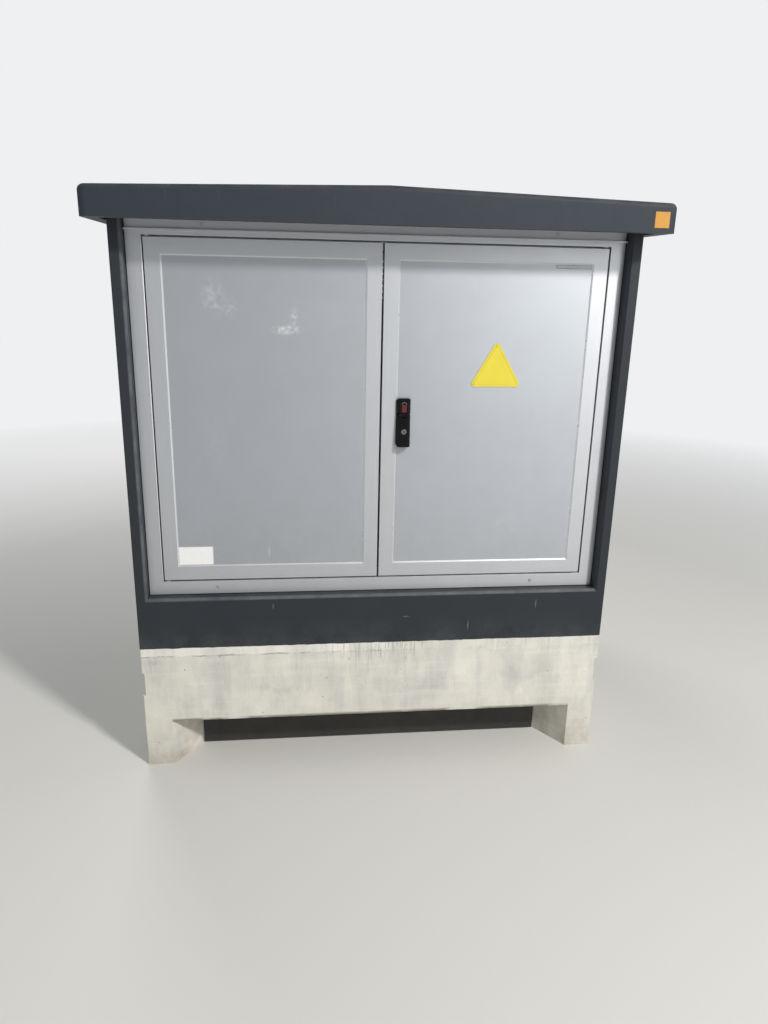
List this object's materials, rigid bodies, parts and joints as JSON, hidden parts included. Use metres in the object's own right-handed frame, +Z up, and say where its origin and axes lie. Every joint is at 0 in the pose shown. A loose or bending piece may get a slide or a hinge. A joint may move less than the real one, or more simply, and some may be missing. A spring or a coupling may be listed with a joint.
{
  "type": "transformer substation",
  "caption": "Compact outdoor transformer substation: cast concrete housing and lid roof, double aluminium door with swing handle, transformer, switchgear and fuse rack inside",
  "frame": {"origin": "on the ground under the middle of the housing and roof", "axes": "+X to the right seen from the door side, +Y to the back, +Z up"},
  "size_m": [2.02, 1.761, 2.255],
  "materials": {
    "cast_concrete": "cast concrete, painted dark slate above the base, bare and weathered below",
    "roof_concrete": "cast concrete, painted dark slate, matt",
    "anodised_aluminium": "extruded, silver anodised, satin",
    "sheet_aluminium": "sheet, silver anodised, satin, lightly scuffed",
    "louvre_aluminium": "folded sheet, satin",
    "galvanised_steel": "zinc coated",
    "black_rubber": "moulded",
    "handle_black": "black, slightly glossy",
    "red_insert": "moulded",
    "lock_chrome": "polished",
    "lock_brass": "turned",
    "sign_yellow": "plain yellow with a fine pressed rim, blank",
    "label_white": "laminated, blank",
    "strip_silver": "blank",
    "marker_amber": "blank",
    "entry_grey": "powder coated, matt",
    "tank_paint": "two-coat paint, half gloss",
    "bushing_epoxy": "cast resin",
    "bushing_porcelain": "brown glaze",
    "knob_black": "moulded",
    "sheet_grey": "powder coated light grey",
    "copper_bar": "bare drawn copper",
    "fuse_grey": "moulded",
    "fuse_lid": "moulded, part clear"
  },
  "bodies": {
    "root": {"housing": "cast_concrete", "roof": "roof_concrete", "roof_seal": "black_rubber", "roof_anchors": "galvanised_steel", "lifting_sockets": "galvanised_steel", "frame_sill": "anodised_aluminium", "frame_head": "anodised_aluminium", "frame_jamb_left": "anodised_aluminium", "frame_jamb_right": "anodised_aluminium", "frame_screws": "galvanised_steel", "drip_bar": "anodised_aluminium", "frame_gasket": "black_rubber", "hinge_pins": "galvanised_steel", "roof_marker": "marker_amber", "entry_plate": "entry_grey", "rear_louvres": "louvre_aluminium", "floor_plates": "galvanised_steel", "earth_bar": "copper_bar", "transformer_tank": "tank_paint", "transformer_lid": "tank_paint", "hv_bushings": "bushing_epoxy", "lv_bushings": "bushing_porcelain", "switchgear_cabinet": "sheet_grey", "switchgear_panel": "sheet_grey", "switchgear_cover": "sheet_grey", "lv_rack": "galvanised_steel", "busbars": "copper_bar", "fuse_bases": "fuse_grey"},
    "right_leaf": {"right_bottom_rail": "anodised_aluminium", "right_top_rail": "anodised_aluminium", "right_lock_stile": "anodised_aluminium", "right_hinge_stile": "anodised_aluminium", "right_panel": "sheet_aluminium", "handle_base": "handle_black", "lock_case": "galvanised_steel", "sign_plate": "sign_yellow", "name_strip": "strip_silver"},
    "left_leaf": {"left_bottom_rail": "anodised_aluminium", "left_top_rail": "anodised_aluminium", "left_lock_stile": "anodised_aluminium", "left_hinge_stile": "anodised_aluminium", "left_panel": "sheet_aluminium", "info_label": "label_white"},
    "handle_hub": {"handle_hub": "handle_black", "handle_insert": "red_insert"},
    "handle_lever": {"handle_lever": "handle_black", "lock_cylinder": "lock_chrome"},
    "key_plug": {"key_plug": "lock_brass"},
    "upper_lock_rod": {"upper_lock_rod": "galvanised_steel"},
    "lower_lock_rod": {"lower_lock_rod": "galvanised_steel"},
    "upper_shoot_bolt": {"upper_shoot_bolt": "galvanised_steel"},
    "lower_shoot_bolt": {"lower_shoot_bolt": "galvanised_steel"},
    "right_door_stay": {"right_door_stay": "galvanised_steel"},
    "left_door_stay": {"left_door_stay": "galvanised_steel"},
    "tap_knob": {"tap_knob": "knob_black"},
    "operating_shaft_1": {"operating_shaft_1": "knob_black"},
    "operating_shaft_2": {"operating_shaft_2": "knob_black"},
    "fuse_lid_1": {"fuse_lid_1": "fuse_lid"},
    "fuse_lid_2": {"fuse_lid_2": "fuse_lid"},
    "fuse_lid_3": {"fuse_lid_3": "fuse_lid"}
  },
  "joints": [
    {"name": "right_door", "type": "hinge", "parent": "root", "child": "right_leaf", "pos_m": [0.83, -0.693, 1.442], "axis": [0, 0, 1], "range_deg": [0, 105]},
    {"name": "left_door", "type": "hinge", "parent": "root", "child": "left_leaf", "pos_m": [-0.83, -0.693, 1.442], "axis": [0, 0, -1], "range_deg": [0, 105]},
    {"name": "handle_turn", "type": "hinge", "parent": "right_leaf", "child": "handle_hub", "pos_m": [0.0875, -0.711, 1.497], "axis": [0, -1, 0], "range_deg": [0, 90]},
    {"name": "lever_lift", "type": "hinge", "parent": "handle_hub", "child": "handle_lever", "pos_m": [0.0875, -0.719, 1.462], "axis": [-1, 0, 0], "range_deg": [0, 30]},
    {"name": "key_turn", "type": "hinge", "parent": "handle_lever", "child": "key_plug", "pos_m": [0.0875, -0.72, 1.4], "axis": [0, -1, 0], "range_deg": [0, 90]},
    {"name": "upper_rod_slide", "type": "slide", "parent": "right_leaf", "child": "upper_lock_rod", "axis": [0, 0, -1], "range_m": [0, 0.018]},
    {"name": "lower_rod_slide", "type": "slide", "parent": "right_leaf", "child": "lower_lock_rod", "axis": [0, 0, 1], "range_m": [0, 0.018]},
    {"name": "upper_bolt_slide", "type": "slide", "parent": "left_leaf", "child": "upper_shoot_bolt", "axis": [0, 0, 1], "range_m": [0, 0.015]},
    {"name": "lower_bolt_slide", "type": "slide", "parent": "left_leaf", "child": "lower_shoot_bolt", "axis": [0, 0, -1], "range_m": [0, 0.015]},
    {"name": "right_stay_swing", "type": "hinge", "parent": "right_leaf", "child": "right_door_stay", "pos_m": [0.65, -0.652, 0.86], "axis": [0, 0, -1], "range_deg": [0, 120]},
    {"name": "left_stay_swing", "type": "hinge", "parent": "left_leaf", "child": "left_door_stay", "pos_m": [-0.65, -0.652, 0.86], "axis": [0, 0, 1], "range_deg": [0, 120]},
    {"name": "tap_change", "type": "hinge", "parent": "root", "child": "tap_knob", "pos_m": [0.34, 0.335, 1.53], "axis": [0, 0, 1], "range_deg": [0, 144]},
    {"name": "left_feeder_switch", "type": "hinge", "parent": "root", "child": "operating_shaft_1", "pos_m": [-0.65, -0.4, 1.668], "axis": [0, -1, 0], "range_deg": [0, 90]},
    {"name": "right_feeder_switch", "type": "hinge", "parent": "root", "child": "operating_shaft_2", "pos_m": [-0.25, -0.4, 1.668], "axis": [0, -1, 0], "range_deg": [0, 90]},
    {"name": "fuse_lid_1_open", "type": "hinge", "parent": "root", "child": "fuse_lid_1", "pos_m": [0.235, -0.397, 1.287], "axis": [1, 0, 0], "range_deg": [0, 80]},
    {"name": "fuse_lid_2_open", "type": "hinge", "parent": "root", "child": "fuse_lid_2", "pos_m": [0.45, -0.397, 1.287], "axis": [1, 0, 0], "range_deg": [0, 80]},
    {"name": "fuse_lid_3_open", "type": "hinge", "parent": "root", "child": "fuse_lid_3", "pos_m": [0.665, -0.397, 1.287], "axis": [1, 0, 0], "range_deg": [0, 80]}
  ],
  "couplings": [
    {"joint": "upper_rod_slide", "follows": "handle_turn", "m_per_rad": 0.011459},
    {"joint": "lower_rod_slide", "follows": "handle_turn", "m_per_rad": 0.011459}
  ]
}
